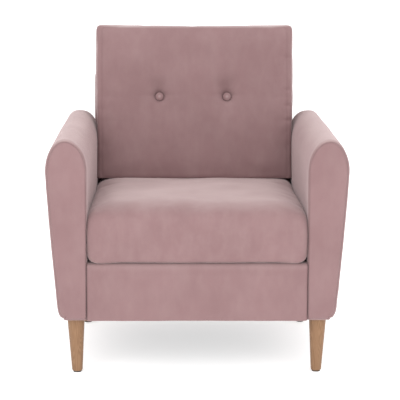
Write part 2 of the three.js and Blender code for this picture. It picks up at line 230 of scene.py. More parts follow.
# A closed section carried from start to end. The section shrinks along a quarter circle of
# radius roll at both ends, then closes over the end face towards its middle.
# section(inset) gives the two in-section coordinates; start and end may depend on them.
def carried(section, start, end, roll, rows, rollRows, capRows):
    quarter = np.linspace(0, math.pi / 2, rollRows)
    cap = np.linspace(0, 1, capRows, endpoint=False)
    run = np.linspace(0, 1, rows)[1:-1]
    inset = np.concatenate([np.full(capRows, 1.0), 1 - np.sin(quarter), 0 * run])
    inset = np.concatenate([inset, 1 - np.sin(quarter[::-1]), np.full(capRows, 1.0)]) * roll
    scale = np.concatenate([cap, np.ones(rollRows), np.ones(len(run)), np.ones(rollRows), cap[::-1]])
    near = np.concatenate([0 * cap, 1 - np.cos(quarter), np.ones(len(run) + rollRows + capRows)]) * roll
    far = near[::-1]
    along = np.concatenate([np.zeros(capRows + rollRows), run, np.ones(rollRows + capRows)])
    a, b = section(inset[:, None])
    midA, midB = a.mean(1, keepdims=True), b.mean(1, keepdims=True)
    a = midA + (a - midA) * scale[:, None]
    b = midB + (b - midB) * scale[:, None]
    first = start(a, b) + near[:, None]
    last = end(a, b) - far[:, None]
    return a, b, lerp(first, last, along[:, None])


class Paint:
    def __init__(self, name):
        self.material = bpy.data.materials.new(name)
        self.material.use_nodes = True
        self.tree = self.material.node_tree
        self.bsdf = self.tree.nodes["Principled BSDF"]

    def group(self, tree, **values):
        node = self.tree.nodes.new("ShaderNodeGroup")
        node.node_tree = tree
        for name, value in values.items():
            node.inputs[name].default_value = value
        return node

    def link(self, source, target):
        self.tree.links.new(source, target)

    # Sets one of the surface's inputs to a plain value or to what a node gives out.
    def give(self, name, value):
        if isinstance(value, bpy.types.NodeSocket):
            self.link(value, self.bsdf.inputs[name])
        else:
            self.bsdf.inputs[name].default_value = value


def addNode(tree, kind, inputs=None, **settings):
    node = tree.nodes.new("ShaderNode" + kind)
    for name, value in settings.items():
        setattr(node, name, value)
    for name, value in (inputs or {}).items():
        if isinstance(value, bpy.types.NodeSocket):
            tree.links.new(value, node.inputs[name])
        else:
            node.inputs[name].default_value = value
    return node


def newGroup(name, takes, gives):
    tree = bpy.data.node_groups.new(name, "ShaderNodeTree")
    for label, (kind, value) in takes.items():
        socket = tree.interface.new_socket(name=label, in_out="INPUT", socket_type="NodeSocket" + kind)
        socket.default_value = value
    for label, kind in gives.items():
        tree.interface.new_socket(name=label, in_out="OUTPUT", socket_type="NodeSocket" + kind)
    return tree, tree.nodes.new("NodeGroupInput").outputs, tree.nodes.new("NodeGroupOutput").inputs


def mathNode(tree, operation, a, b=0.0, clamp=False):
    node = addNode(tree, "Math", {0: a, 1: b}, operation=operation, use_clamp=clamp)
    return node.outputs[0]


def times(tree, a, b):
    return mathNode(tree, "MULTIPLY", a, b)


def plus(tree, a, b, clamp=False):
    return mathNode(tree, "ADD", a, b, clamp)


def mixColours(tree, share, a, b):
    node = addNode(tree, "Mix", data_type="RGBA")
    for index, value in ((0, share), (6, a), (7, b)):
        if isinstance(value, bpy.types.NodeSocket):
            tree.links.new(value, node.inputs[index])
        else:
            node.inputs[index].default_value = value
    return node.outputs[2]


def remap(tree, value, low, high, toLow=0.0, toHigh=1.0):
    limits = {"From Min": low, "From Max": high, "To Min": toLow, "To Max": toHigh}
    return addNode(tree, "MapRange", {"Value": value, **limits}).outputs["Result"]


def objectPlace(tree, scale=(1, 1, 1), turn=(0, 0, 0)):
    coordinates = addNode(tree, "TexCoord").outputs["Object"]
    turned = [math.radians(angle) for angle in turn]
    inputs = {"Vector": coordinates, "Scale": scale, "Rotation": turned}
    return addNode(tree, "Mapping", inputs).outputs["Vector"]


def noise(tree, place, scale, detail=2.0, roughness=0.5):
    inputs = {"Vector": place, "Scale": scale, "Detail": detail, "Roughness": roughness}
    return addNode(tree, "TexNoise", inputs).outputs["Fac"]


def bands(tree, place, scale, direction, distortion=0.0):
    inputs = {"Vector": place, "Scale": scale, "Distortion": distortion, "Detail": 2.0, "Detail Scale": 1.5}
    return addNode(tree, "TexWave", inputs, bands_direction=direction).outputs["Fac"]


surfaceOutputs = {"Colour": "Color", "Roughness": "Float", "Height": "Float"}


# Short brushed pile on a fine plain weave: slow light and dark patches, soft upright strokes,
# a thread pattern that crosses on every face, painted shade that darkens seams, gaps and
# dimples, and a painted sheen that lightens upward faces.
def buildClothGroup():
    takes = {
        "Cloth": ("Color", (0.5, 0.4, 0.4, 1)),
        "Shade": ("Color", (0.4, 0.3, 0.3, 1)),
        "Stroke And Sheen": ("Color", (0.6, 0.5, 0.5, 1)),
        "Patch Scale": ("Float", 9.0),
        "Thread Scale": ("Float", 210.0),
        "Stroke": ("Float", 0.3),
        "Seam": ("Float", 0.0),
        "Painted Sheen": ("Float", 0.0),
    }
    tree, given, made = newGroup("brushedCloth", takes, surfaceOutputs)
    place = objectPlace(tree)
    patch = remap(tree, noise(tree, place, given["Patch Scale"], 3.0, 0.55), 0.36, 0.64)
    stroke = remap(tree, noise(tree, objectPlace(tree, (26, 26, 13)), 1.0, 5.0, 0.62), 0.40, 0.72)
    speck = remap(tree, noise(tree, place, 620.0, 2.0, 0.7), 0.3, 0.7)
    body = mixColours(tree, times(tree, patch, 0.55), given["Cloth"], given["Shade"])
    strokes = times(tree, stroke, given["Stroke"])
    # Painted sheen: where its mask is set, the pile lightens towards the light colour, standing in for
    # sheen on faces turned up to the light.
    sheenShare = times(tree, given["Painted Sheen"], remap(tree, patch, 0, 1, 1.0, 0.7))
    strokeAndSheen = plus(tree, strokes, sheenShare, True)
    body = mixColours(tree, strokeAndSheen, body, given["Stroke And Sheen"])
    body = mixColours(tree, times(tree, speck, 0.16), body, given["Shade"])
    # Painted shade: where its mask is set, the cloth darkens towards a deeper tone, standing in for shade
    # in seams, gaps and dimples.
    darker = {"Color": given["Shade"], "Saturation": 1.3, "Value": 0.5}
    deep = addNode(tree, "HueSaturation", darker).outputs["Color"]
    body = mixColours(tree, times(tree, given["Seam"], 0.75), body, deep)
    warp, weft, upright = (bands(tree, place, given["Thread Scale"], way) for way in "XYZ")
    threads = plus(tree, plus(tree, warp, weft), upright)
    fuzz = times(tree, speck, 0.9)
    height = plus(tree, times(tree, threads, 0.3), fuzz)
    tree.links.new(body, made["Colour"])
    tree.links.new(remap(tree, stroke, 0, 1, 0.92, 0.82), made["Roughness"])
    tree.links.new(height, made["Height"])
    return tree


# Growth rings stretched along the local Z, with pores and slow colour drift.
def buildWoodGroup():
    takes = {
        "Place": ("Vector", (0, 0, 0)),
        "Early": ("Color", (0.6, 0.45, 0.3, 1)),
        "Late": ("Color", (0.4, 0.28, 0.16, 1)),
        "Ring Scale": ("Float", 6.0),
        "Pore": ("Float", 0.3),
    }
    tree, given, made = newGroup("woodGrain", takes, surfaceOutputs)
    drawn = addNode(tree, "Mapping", {"Vector": given["Place"], "Scale": (1, 1, 0.09)}).outputs["Vector"]
    drift = noise(tree, drawn, 18.0, 3.0, 0.6)
    wobble = addNode(tree, "VectorMath", {0: drawn, 1: drift}, operation="ADD").outputs["Vector"]
    ring = bands(tree, wobble, given["Ring Scale"], "DIAGONAL", 2.2)
    fine = addNode(tree, "Mapping", {"Vector": given["Place"], "Scale": (1, 1, 0.03)}).outputs["Vector"]
    pore = remap(tree, noise(tree, fine, 900.0, 3.0, 0.7), 0.55, 0.75)
    body = mixColours(tree, remap(tree, ring, 0.2, 1.0, 0.0, 0.75), given["Early"], given["Late"])
    body = mixColours(tree, times(tree, pore, given["Pore"]), body, given["Late"])
    body = mixColours(tree, remap(tree, drift, 0.35, 0.7, 0.0, 0.3), body, given["Early"])
    pits = times(tree, pore, 0.6)
    height = mathNode(tree, "SUBTRACT", times(tree, ring, 0.4), pits)
    tree.links.new(body, made["Colour"])
    tree.links.new(remap(tree, pore, 0, 1, 0.48, 0.7), made["Roughness"])
    tree.links.new(height, made["Height"])
    return tree


# Coarse threads that cross at right angles, with gaps and uneven yarn.
def buildThreadGroup():
    takes = {
        "Place": ("Vector", (0, 0, 0)),
        "Yarn": ("Color", (0.4, 0.3, 0.2, 1)),
        "Gap": ("Color", (0.2, 0.15, 0.1, 1)),
        "Thread Scale": ("Float", 100.0),
    }
    tree, given, made = newGroup("coarseWeave", takes, {"Colour": "Color", "Height": "Float"})
    warp, weft, upright = (bands(tree, given["Place"], given["Thread Scale"], way, 0.15) for way in "XYZ")
    height = plus(tree, plus(tree, warp, weft), upright)
    uneven = noise(tree, given["Place"], 60.0, 3.0, 0.6)
    fullness = remap(tree, uneven, 0.3, 0.7, 0.75, 1.0)
    share = times(tree, remap(tree, height, 0.6, 2.4), fullness)
    tree.links.new(mixColours(tree, share, given["Gap"], given["Yarn"]), made["Colour"])
    tree.links.new(height, made["Height"])
    return tree


# Faint scuffs and settled dust for metal, plastic and bare timber.
def buildWearGroup():
    takes = {
        "Base": ("Color", (0.5, 0.5, 0.5, 1)),
        "Worn": ("Color", (0.6, 0.6, 0.6, 1)),
        "Amount": ("Float", 0.3),
        "Scale": ("Float", 60.0),
    }
    tree, given, made = newGroup("handlingWear", takes, {"Colour": "Color", "Mask": "Float"})
    place = objectPlace(tree)
    scuff = remap(tree, noise(tree, place, given["Scale"], 5.0, 0.7), 0.5, 0.66)
    mask = times(tree, scuff, given["Amount"])
    tree.links.new(mixColours(tree, mask, given["Base"], given["Worn"]), made["Colour"])
    tree.links.new(mask, made["Mask"])
    return tree


clothGroup = buildClothGroup()
woodGroup = buildWoodGroup()
threadGroup = buildThreadGroup()
wearGroup = buildWearGroup()


clothColours = {
    "Cloth": (0.250, 0.154, 0.156, 1),
    "Shade": (0.216, 0.130, 0.132, 1),
    # light colour for the pile's strokes and for the painted sheen on upward faces
    "Stroke And Sheen": (0.400, 0.305, 0.298, 1),
}
clothBump = {"strength": 0.22, "distance": 0.0006}
pile = {"weight": 0.5, "roughness": 0.42, "tint": (1.0, 0.84, 0.84, 1)}


def addBump(paint, height, strength, distance):
    bump = addNode(paint.tree, "Bump", {"Height": height, "Strength": strength, "Distance": distance})
    paint.give("Normal", bump.outputs["Normal"])


def clothFinish(name, stroke=0.3, patchScale=9.0, bump=1.0):
    paint = Paint(name)
    masks = {}
    # The two masks carry painted shade and painted sheen, set piece by piece.
    for mask in ("seam", "paintedSheen"):
        masks[mask] = addNode(paint.tree, "Attribute", attribute_name=mask).outputs["Fac"]
    cloth = paint.group(clothGroup, **clothColours, **{"Stroke": stroke, "Patch Scale": patchScale})
    paint.link(masks["seam"], cloth.inputs["Seam"])
    paint.link(masks["paintedSheen"], cloth.inputs["Painted Sheen"])
    paint.give("Base Color", cloth.outputs["Colour"])
    paint.give("Roughness", cloth.outputs["Roughness"])
    addBump(paint, cloth.outputs["Height"], clothBump["strength"] * bump, clothBump["distance"])
    paint.give("Sheen Weight", pile["weight"])
    paint.give("Sheen Roughness", pile["roughness"])
    paint.give("Sheen Tint", pile["tint"])
    paint.give("Specular IOR Level", 0.06)
    return paint.material


woods = {
    "oak": {
        "Early": (0.262, 0.148, 0.080, 1),
        "Late": (0.180, 0.092, 0.044, 1),
        "Ring Scale": 7.0,
        "Pore": 0.45,
    },
    "softwood": {
        "Early": (0.70, 0.52, 0.31, 1),
        "Late": (0.50, 0.31, 0.15, 1),
        "Ring Scale": 5.0,
        "Pore": 0.15,
    },
    "ply": {
        "Early": (0.66, 0.49, 0.31, 1),
        "Late": (0.52, 0.36, 0.21, 1),
        "Ring Scale": 2.5,
        "Pore": 0.2,
    },
}


# Solid timber; turn brings the way the grain runs to the local Z.
def woodFinish(name, wood, turn=(0, 0, 0), gloss=0.3):
    paint = Paint(name)
    grain = paint.group(woodGroup, **woods[wood])
    paint.link(objectPlace(paint.tree, turn=turn), grain.inputs["Place"])
    paint.give("Base Color", grain.outputs["Colour"])
    paint.give("Roughness", grain.outputs["Roughness"])
    addBump(paint, grain.outputs["Height"], 0.25, 0.0005)
    paint.give("Specular IOR Level", gloss)
    return paint


# Plies show as stripes on the board's edges, whose normals lie across its thickness.
def plywoodFinish(name):
    paint = woodFinish(name, "ply")
    tree = paint.tree
    normal = addNode(tree, "SeparateXYZ", {"Vector": addNode(tree, "NewGeometry").outputs["Normal"]})
    edge = remap(tree, mathNode(tree, "ABSOLUTE", normal.outputs["Y"]), 0.6, 0.4)
    stripes = remap(tree, bands(tree, objectPlace(tree), 105.0, "Y", 0.3), 0.45, 0.55)
    share = times(tree, times(tree, edge, stripes), 0.6)
    face = paint.bsdf.inputs["Base Color"].links[0].from_socket
    paint.give("Base Color", mixColours(tree, share, face, woods["softwood"]["Late"]))
    return paint


def foamFinish():
    paint = Paint("foamCore")
    place = objectPlace(paint.tree)
    pores = addNode(paint.tree, "TexVoronoi", {"Vector": place, "Scale": 420.0}).outputs["Distance"]
    drift = noise(paint.tree, place, 14.0, 3.0)
    cells = remap(paint.tree, pores, 0.15, 0.5)
    body = mixColours(paint.tree, cells, (0.62, 0.53, 0.33, 1), (0.82, 0.75, 0.55, 1))
    yellowed = remap(paint.tree, drift, 0.35, 0.7, 0.0, 0.5)
    body = mixColours(paint.tree, yellowed, body, (0.84, 0.72, 0.45, 1))
    paint.give("Base Color", body)
    paint.give("Roughness", remap(paint.tree, pores, 0, 1, 0.98, 0.85))
    addBump(paint, pores, 0.5, 0.0012)
    return paint.material


# Plated or oiled metal; thread is the scale of a bolt's thread along its axis.
def metalFinish(name, base, wearAndSheen, roughness, thread=0.0):
    paint = Paint(name)
    wear = paint.group(wearGroup, Base=base, Worn=wearAndSheen, Amount=0.5, Scale=90.0)
    paint.give("Base Color", wear.outputs["Colour"])
    dulled = remap(paint.tree, wear.outputs["Mask"], 0, 0.5, roughness, roughness + 0.2)
    paint.give("Roughness", dulled)
    paint.give("Metallic", 1.0)
    if thread:
        addBump(paint, bands(paint.tree, objectPlace(paint.tree), thread, "Z"), 0.9, 0.0007)
    else:
        addBump(paint, noise(paint.tree, objectPlace(paint.tree, (1, 1, 20)), 150.0, 3.0), 0.12, 0.0003)
    return paint.material


def plasticFinish():
    paint = Paint("glidePlastic")
    colours = {"Base": (0.042, 0.036, 0.032, 1), "Worn": (0.16, 0.145, 0.13, 1)}
    wear = paint.group(wearGroup, **colours, Amount=0.5, Scale=140.0)
    paint.give("Base Color", wear.outputs["Colour"])
    paint.give("Roughness", remap(paint.tree, wear.outputs["Mask"], 0, 0.5, 0.5, 0.75))
    addBump(paint, noise(paint.tree, objectPlace(paint.tree), 800.0, 2.0), 0.2, 0.0003)
    return paint.material


def weaveFinish(name, yarn, gapColour, scale, roughness, bump):
    paint = Paint(name)
    weave = paint.group(threadGroup, Yarn=yarn, Gap=gapColour)
    weave.inputs["Thread Scale"].default_value = scale
    paint.link(objectPlace(paint.tree), weave.inputs["Place"])
    paint.give("Base Color", weave.outputs["Colour"])
    wearAndSheen = noise(paint.tree, objectPlace(paint.tree), 40.0, 3.0)
    uneven = remap(paint.tree, wearAndSheen, 0.3, 0.7, roughness - 0.08, roughness)
    paint.give("Roughness", uneven)
    addBump(paint, weave.outputs["Height"], 0.6, bump)
    return paint.material


liningColours = ((0.045, 0.042, 0.045, 1), (0.015, 0.014, 0.015, 1))
juteColours = ((0.50, 0.35, 0.19, 1), (0.20, 0.12, 0.05, 1))
twineColours = ((0.62, 0.50, 0.36, 1), (0.30, 0.21, 0.12, 1))

finishes = {
    "armCloth": clothFinish("armCloth", 0.12, 8.0),
    "facingCloth": clothFinish("facingCloth", 0.10, 7.0),
    "backCloth": clothFinish("backCloth", 0.12, 7.0),
    "seatCloth": clothFinish("seatCloth", 0.16, 9.0),
    "backCushionCloth": clothFinish("backCushionCloth", 0.12, 8.0),
    "buttonCloth": clothFinish("buttonCloth", 0.15, 30.0),
    "foam": foamFinish(),
    "ply": plywoodFinish("plywood").material,
    "timberAcross": woodFinish("timberAcross", "softwood", (0, 90, 0), 0.2).material,
    "timberDeep": woodFinish("timberDeep", "softwood", (90, 0, 0), 0.2).material,
    "timberUpright": woodFinish("timberUpright", "softwood", (-12.5, 0, 0), 0.2).material,
    "oak": woodFinish("oakLeg", "oak").material,
    "bolt": metalFinish("zincBolt", (0.55, 0.55, 0.53, 1), (0.36, 0.34, 0.32, 1), 0.32, 250.0),
    "spring": metalFinish("springSteel", (0.16, 0.165, 0.175, 1), (0.30, 0.28, 0.26, 1), 0.38),
    "zip": metalFinish("zipMetal", (0.50, 0.40, 0.34, 1), (0.72, 0.64, 0.58, 1), 0.3),
    "glide": plasticFinish(),
    "lining": weaveFinish("liningCloth", *liningColours, 160.0, 0.95, 0.0004),
    "jute": weaveFinish("juteWebbing", *juteColours, 75.0, 0.95, 0.0012),
    "twine": weaveFinish("tuftingTwine", *twineColours, 320.0, 0.9, 0.0004),
}


def dress(piece, finish):
    piece.data.materials.clear()
    piece.data.materials.append(finishes[finish])


# Dresses a piece, rides on its body and stands for its CAD nodes, all in one go.
def place(piece, finish, body, slot, *replaced):
    dress(piece, finish)
    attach(piece, body)
    if replaced:
        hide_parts(*replaced)


armLow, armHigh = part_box("arm_cover_right")
legTop = armLow.z
lean = math.radians(12.5)
backFoot = frontY + 0.5983  # front of the back frame at leg height

arm = {
    "inner": armLow.x,
    "innerFoot": armLow.x + 0.003,
    "crown": 0.351,
    "widest": armHigh.x + 0.0015,
    "innerShoulder": legTop + 0.406,
    "outerShoulder": legTop + 0.403,
    "waist": (0.398, legTop + 0.278),
    "hem": (0.377, legTop + 0.036),
    "corner": 0.361,
    "hemRound": 0.006,
    "frontRoll": 0.013,
    "rearRound": 0.085,
    "bulge": 0.003,
    "length": 0.62,
}


# Section of the right arm: nearly upright inside, a quarter ellipse up to the crown and another
# down to the shoulder, two soft curves down the flared outer side, then straight back underneath.
def armSection(inset, inner=None):
    side = inset if inner is None else inner
    steps = fractions(30, 18, 18, 30, 8, 8, 16, 6)
    floor, top = legTop + inset, armHigh.z - inset
    foot, corner = arm["innerFoot"] + side, arm["corner"] - inset
    hemX, hemZ = arm["hem"][0] - inset, arm["hem"][1] + 0 * inset
    waistX, waistZ = arm["waist"][0] - inset, arm["waist"][1] + 0 * inset
    widest, soft = arm["widest"] - inset, arm["hemRound"]
    quarter = [t * math.pi / 2 for t in steps]
    inX, outX = arm["crown"] - arm["inner"] - side, widest - arm["crown"]
    inZ, outZ = top - arm["innerShoulder"], top - arm["outerShoulder"]
    x = [
        lerp(foot, arm["inner"] + side, steps[0]),
        arm["crown"] - inX * np.cos(quarter[1]),
        arm["crown"] + outX * np.sin(quarter[2]),
        bend(widest, waistX, hemX, steps[3]),
        bend(hemX, hemX - 0.004, corner, steps[4]),
        bend(corner, corner - 0.001, corner - soft, steps[5]),
        lerp(corner - soft, foot + soft, steps[6]),
        bend(foot + soft, foot, foot, steps[7]),
    ]
    z = [
        lerp(floor + soft, arm["innerShoulder"] + 0 * inset, steps[0]),
        arm["innerShoulder"] + inZ * np.sin(quarter[1]),
        arm["outerShoulder"] + outZ * np.cos(quarter[2]),
        bend(arm["outerShoulder"] + 0 * inset, waistZ, hemZ, steps[3]),
        bend(hemZ, legTop + 0.006 + inset, floor + soft, steps[4]),
        bend(floor + soft, floor, floor, steps[5]),
        floor + 0 * steps[6],
        bend(floor, floor, floor + soft, steps[7]),
    ]
    return joined(x, inset), joined(z, inset)


# The back frame's front face leans, so its depth grows with height.
def backFace(z):
    return backFoot + (z - legTop) * math.tan(lean)


# Inner face of an arm at a height, from the middle of the chair.
def armInside(z):
    up = np.clip((z - legTop) / (arm["innerShoulder"] - legTop), 0, 1)
    return lerp(arm["innerFoot"], arm["inner"], up)


# Rear end of an arm: parallel to the back, curved over at the top.
def armRear(z, top, clearance):
    reach = arm["rearRound"]
    t = 1 - np.sqrt(np.clip((top - z) / reach, 0, 1))
    straight = backFace(z) - clearance
    over = bend(backFace(top - reach), backFace(top), backFace(top) - reach, t) - clearance
    return np.where(z > top - reach, over, straight)


def pairOf(name, points, finish, body, slot, *replaced):
    for side, label in ((1, "right"), (-1, "left")):
        piece = gridPiece(f"{name}_{label}", points * (side, 1, 1), closeColumns=True, merge=True)
        nodesHere = [f"{node}_{label}" for node in replaced]
        place(piece, finish, body, slot, *nodesHere)
        yield piece, side


# The cover: its front edge rolls in to the facing's seam and a slow fullness fills the long sides.
def addArmCovers():
    start = lambda x, z: frontY + 0.0035 + 0 * z
    end = lambda x, z: armRear(z, armHigh.z + 0.001, 0.0006)
    x, z, y = carried(armSection, start, end, arm["frontRoll"], 70, 9, 8)
    points = np.stack([x, y, z], -1)
    for piece, side in pairOf("armCover", points, "armCloth", "base", "arm_cloth", "arm_cover"):
        settleArm(piece, side)


# Fullness along the sides, slack and small pulls by the seam; the inner side stays nearly level,
# because the cushions lie against it.
def settleArm(piece, side):
    points = readPoints(piece.data)
    normals = readNormals(piece.data)
    along = (points[:, 1] - frontY) / arm["length"]
    up = (points[:, 2] - legTop) / (armHigh.z - legTop)
    middle = np.clip(np.sin(math.pi * np.clip(along, 0, 1)), 0, 1)
    fullness = arm["bulge"] * middle * np.clip(np.sin(math.pi * np.clip(up, 0, 1)), 0, 1) ** 0.5
    slack = 0.0009 * ripple(points, 0.16, 11 + side) * middle
    near = np.clip(1 - np.abs(points[:, 1] - frontY - 0.03) / 0.05, 0, 1)
    pulled = 0.0005 * ripple(points * (1, 0.25, 1), 0.045, 23 + side) * near
    lifted = np.where(np.abs(normals[:, 2]) > 0.9, 0.2, 1.0) * (fullness + slack + pulled)
    lifted[points[:, 2] < legTop + 0.01] *= 0.1
    inward = np.abs(points[:, 0]) < arm["inner"] + 0.02
    lifted = np.where(inward, np.minimum(lifted, 0.0012), lifted)
    writePoints(piece.data, points + normals * lifted[:, None])
    # Painted shade where the front edge rolls in to the facing's seam.
    seamRollShade = smoothStep(points[:, 1], frontY + 0.0075, frontY + 0.0038)
    setMask(piece.data, "seam", seamRollShade * 0.8)
    # Painted sheen lightens the upward crest, and a little over the front.
    crest = smoothStep(normals[:, 2], 0.25, 0.9)
    nearFront = smoothStep(points[:, 1], frontY + 0.05, frontY + 0.01)
    setMask(piece.data, "paintedSheen", crest * 0.85 + 0.08 * nearFront)


facing = {
    "inset": 0.0065,
    "innerInset": 0.002,
    "thickness": 0.0062,
    "edge": 0.006,
    "crown": 0.0022,
    "middle": 0.345,
}


# The facing: rings that leave the seam, climb a rounded edge and cross to the middle with a slight
# crown. Depth is a quarter circle of the distance from the seam plus a dome.
def addArmFacings():
    edge = facing["edge"]
    climb = np.linspace(0, math.pi / 2, 9)
    inset = np.concatenate([edge * (1 - np.cos(climb)), np.full(26, edge)])[:, None]
    scale = np.concatenate([np.ones(9), np.linspace(1, 0, 27)[1:]])[:, None]
    x, z = armSection(inset + facing["inset"], inset + facing["innerInset"])
    midX, midZ = facing["middle"], (legTop + armHigh.z) / 2
    x, z = midX + (x - midX) * scale, np.maximum(midZ + (z - midZ) * scale, legTop + 0.001)
    rise = np.concatenate([np.sin(climb), np.ones(26)])[:, None] * facing["thickness"]
    dome = facing["crown"] * (1 - scale**2) ** 0.8
    front = frontY + facing["thickness"] - rise - dome + 0 * x
    rear = np.full_like(front[:1], frontY + facing["thickness"])
    points = np.stack([x, front, z], -1)
    back = np.stack([x[:1], rear, z[:1]], -1)
    hub = np.stack([x[-1:], rear, z[-1:]], -1)
    points = np.concatenate([hub, back, points])
    for piece, side in pairOf("armFacing", points, "facingCloth", "base", "facing_cloth", "arm_facing"):
        settleFacing(piece, side)


# Small puckers along the seam and a little slackness over the panel.
def settleFacing(piece, side):
    points = readPoints(piece.data)
    climbed = smoothStep(points[:, 1], frontY + facing["thickness"], frontY - 0.001)
    shallow = 0.0007 * ripple(points * (1, 0, 1), 0.12, 31 + side) * climbed
    stitches = 0.00035 * ripple(points * (1, 0, 1), 0.02, 37 + side) * climbed * (1 - climbed) * 4
    points[:, 1] += shallow + stitches
    writePoints(piece.data, points)
    # Painted shade: darker where the rounded edge sinks back towards the seam.
    setMask(piece.data, "seam", smoothStep(points[:, 1], frontY + 0.0012, frontY + 0.0055))


# Foam round the boards of an arm: the same section a cover's thickness smaller.
def addArmFoam():
    under = 0.0045
    start = lambda x, z: frontY + 0.0085 + 0 * z
    end = lambda x, z: armRear(z, armHigh.z - under, under)
    section = lambda inset: armSection(inset + under)
    x, z, y = carried(section, start, end, 0.012, 40, 5, 5)
    form = np.stack([x, y, z], -1)
    for piece, side in pairOf("armFoam", form, "foam", "base", "foam", "arm_foam"):
        roughen(piece, 0.0006, 0.08, 41 + side)


border = {
    "front": frontY + 0.004,
    "depth": 0.06,
    "round": 0.010,
    "under": frontY + 0.0325,
    "reach": 0.2936,
    "top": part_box("front_border")[1].z,
    "endRoll": 0.007,
    "cloth": 0.0022,
    "fullness": 0.003,
}


# A strip of cloth that leaves the deck, turns down over the rail, crosses its face and turns
# under it. Its two ends curl back along a quarter circle where they meet the arms.
def addFrontBorder():
    front, top, soft = border["front"], border["top"], border["round"]
    t = np.linspace(0, 1, 12)
    face = np.linspace(0, 1, 40)[1:]
    y = [
        lerp(front + border["depth"], front + soft, t),
        bend(front + soft, front, front, t)[1:],
        front + 0 * face,
        bend(front, front, front + soft, t)[1:],
        lerp(front + soft, border["under"], t)[1:],
    ]
    z = [
        top + 0 * t,
        bend(top, top, top - soft, t)[1:],
        lerp(top - soft, legTop + soft, face),
        bend(legTop + soft, legTop, legTop, t)[1:],
        legTop + 0 * t[1:],
    ]
    y, z = np.concatenate(y), np.concatenate(z)
    roll = border["endRoll"]
    turn = np.linspace(0, math.pi / 2, 8)
    left = -border["reach"] + roll * (1 - np.cos(turn))
    x = np.concatenate([left, np.linspace(left[-1], -left[-1], 90)[1:-1], -left[::-1]])
    curl = np.concatenate([roll * (1 - np.sin(turn)), np.zeros(88), roll * (1 - np.sin(turn[::-1]))])
    onFace = smoothStep(z, legTop, legTop + 0.03) * smoothStep(z, top, top - 0.03)
    across = 1 - (x / border["reach"]) ** 4
    bulge = border["fullness"] * across[:, None] * onFace[None, :]
    points = np.stack([x[:, None] + 0 * y, y + curl[:, None] - bulge, z + 0 * x[:, None]], -1)
    flat = points.reshape(-1, 3)
    flat[:, 0] *= (armInside(flat[:, 2]) - 0.0001) / border["reach"]
    drawn = 0.0010 * ripple(flat * (1, 0, 1), 0.10, 51) + 0.0005 * ripple(flat * (1, 0, 0.3), 0.04, 52)
    flat[:, 1] += drawn * np.tile(onFace, len(x))
    hem = smoothStep(flat[:, 2], legTop + 0.02, legTop)
    flat[:, 2] += hem * 0.0012 * (0.5 + 0.5 * ripple(flat * (1, 0, 0), 0.09, 53))
    piece = gridPiece("frontBorder", flat.reshape(points.shape))
    faceForwards(piece)
    solid = piece.modifiers.new("cloth", "SOLIDIFY")
    solid.thickness = border["cloth"]
    solid.offset = -1
    place(piece, "armCloth", "base", "arm_cloth", "front_border")
    # Painted shade at the ends where the border meets the arms; painted sheen along its top.
    edge = smoothStep(np.abs(flat[:, 0]), border["reach"] - 0.001, border["reach"] + 0.0025)
    setMask(piece.data, "seam", edge * 0.8)
    setMask(piece.data, "paintedSheen", 0.2 * smoothStep(flat[:, 2], top - 0.02, top))


# Turns an open strip's faces round where its normals point into the chair.
def faceForwards(piece):
    if readNormals(piece.data)[len(piece.data.vertices) // 2].dot((0, -1, 0)) < 0:
        piece.data.flip_normals()


swell = {
    "voxel": 0.0074,
    "pressure": 4.0,
    "frames": 20,
    "seatTravel": 0.024,
    "backTravel": 0.022,
    "keep": 0.3,  # a tight foam core gives back the rest
}


# Swaps a piece's mesh for what its modifiers make of it.
def bakeModifiers(piece):
    evaluated = piece.evaluated_get(bpy.context.evaluated_depsgraph_get())
    mesh = bpy.data.meshes.new_from_object(evaluated)
    piece.modifiers.clear()
    piece.data = mesh
    mesh.shade_smooth()


def remeshed(piece, voxel):
    remesh = piece.modifiers.new("even", "REMESH")
    remesh.mode = "VOXEL"
    remesh.voxel_size = voxel
    bakeModifiers(piece)


# Blows the cover up like a filled bag; no point may travel further than the cap.
def inflate(piece, travel):
    before = readPoints(piece.data)
    cloth = piece.modifiers.new("filling", "CLOTH")
    settings = {
        "quality": 5,
        "mass": 0.3,
        "tension_stiffness": 18,
        "compression_stiffness": 18,
        "bending_stiffness": 1.2,
        "use_pressure": True,
        "uniform_pressure_force": swell["pressure"],
    }
    for name, value in settings.items():
        setattr(cloth.settings, name, value)
    cloth.settings.effector_weights.gravity = 0
    for step in range(1, swell["frames"] + 1):
        scene.frame_set(step)
    bakeModifiers(piece)
    move = readPoints(piece.data) - before
    length = np.linalg.norm(move, axis=1)[:, None]
    share = np.minimum(1, travel / np.maximum(length, 1e-9))
    writePoints(piece.data, before + move * share * swell["keep"])
    scene.frame_set(1)


def smoothed(piece, rounds, factor=0.5):
    smooth = piece.modifiers.new("ease", "SMOOTH")
    smooth.factor = factor
    smooth.iterations = rounds
    bakeModifiers(piece)


def subdivided(piece):
    finer = piece.modifiers.new("finer", "SUBSURF")
    finer.levels = finer.render_levels = 1
    bakeModifiers(piece)


# The whole way from a modelled shape to a filled one.
def filled(piece, travel):
    remeshed(piece, swell["voxel"])
    inflate(piece, travel)
    smoothed(piece, 3)
    subdivided(piece)


fastener = {"half": 0.22, "width": 0.0062, "tooth": 0.0022, "sunk": 0.0026, "channel": 0.0034}


# How far a rear face is pressed in along its zip, given how far each point is above the zip.
def zipChannel(x, above, rearward):
    near = smoothStep(np.abs(above), 0.0085, 0.0045) * smoothStep(np.abs(x), 0.228, 0.222)
    return fastener["channel"] * near * rearward


